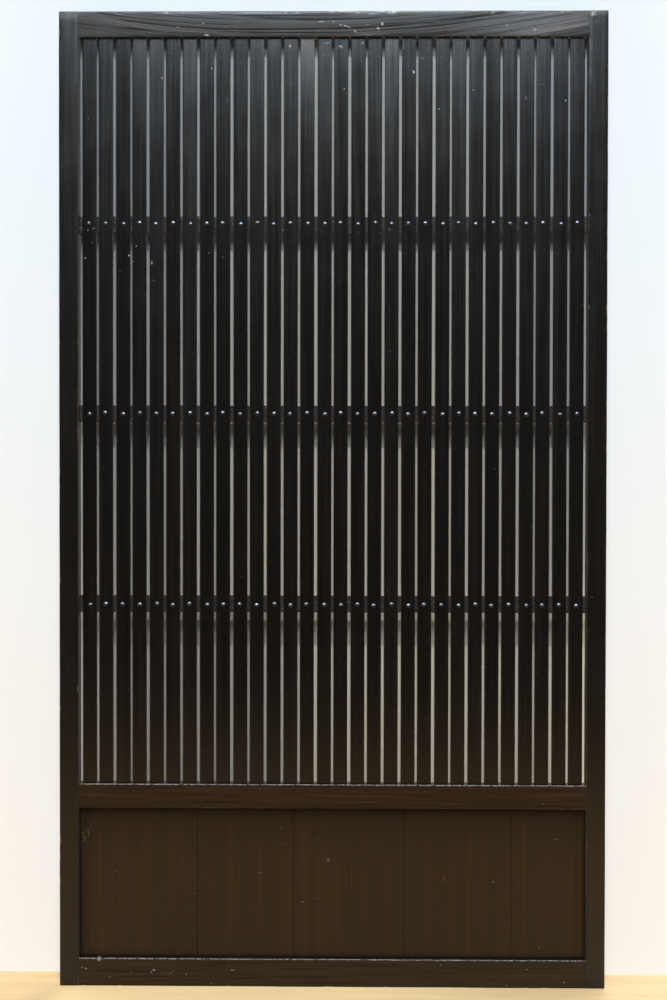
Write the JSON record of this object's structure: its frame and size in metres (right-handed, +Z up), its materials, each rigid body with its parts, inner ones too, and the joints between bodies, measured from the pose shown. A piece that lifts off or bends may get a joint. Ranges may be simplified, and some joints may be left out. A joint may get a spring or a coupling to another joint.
{
  "type": "lattice door",
  "caption": "Flat sliding door leaf of dark lacquered wood: a mortised frame holding upright slats nailed to cross bars, over a low boarded panel.",
  "frame": {"origin": "under the middle of the leaf, at the bottom edge that stands on the sill or floor", "axes": "+Z up along the stiles, +X to the right seen from the front, the nailed front faces -Y"},
  "size_m": [0.988, 0.033, 1.762],
  "materials": {
    "frame_wood": "dark brown-black stain under worn satin lacquer, open grain",
    "lattice_wood": "dark brown-black stain under satin lacquer, small scratches",
    "panel_wood": "dark red-brown stain under satin lacquer, straight grain",
    "nail_iron": "blackened forged iron, lightly polished domes"
  },
  "bodies": {
    "root": {"left_stile": "frame_wood", "right_stile": "frame_wood", "top_rail": "frame_wood", "waist_rail": "frame_wood", "bottom_rail": "frame_wood", "lower_cross_bar": "lattice_wood", "middle_cross_bar": "lattice_wood", "upper_cross_bar": "lattice_wood", "slat_01": "lattice_wood", "slat_02": "lattice_wood", "slat_03": "lattice_wood", "slat_04": "lattice_wood", "slat_05": "lattice_wood", "slat_06": "lattice_wood", "slat_07": "lattice_wood", "slat_08": "lattice_wood", "slat_09": "lattice_wood", "slat_10": "lattice_wood", "slat_11": "lattice_wood", "slat_12": "lattice_wood", "slat_13": "lattice_wood", "slat_14": "lattice_wood", "slat_15": "lattice_wood", "slat_16": "lattice_wood", "slat_17": "lattice_wood", "slat_18": "lattice_wood", "slat_19": "lattice_wood", "slat_20": "lattice_wood", "slat_21": "lattice_wood", "slat_22": "lattice_wood", "slat_23": "lattice_wood", "slat_24": "lattice_wood", "slat_25": "lattice_wood", "slat_26": "lattice_wood", "slat_27": "lattice_wood", "slat_28": "lattice_wood", "slat_29": "lattice_wood", "slat_30": "lattice_wood", "lower_nail_row": "nail_iron", "middle_nail_row": "nail_iron", "upper_nail_row": "nail_iron", "panel_board_1": "panel_wood", "panel_board_2": "panel_wood", "panel_board_3": "panel_wood", "panel_board_4": "panel_wood", "panel_board_5": "panel_wood"}
  },
  "joints": []
}
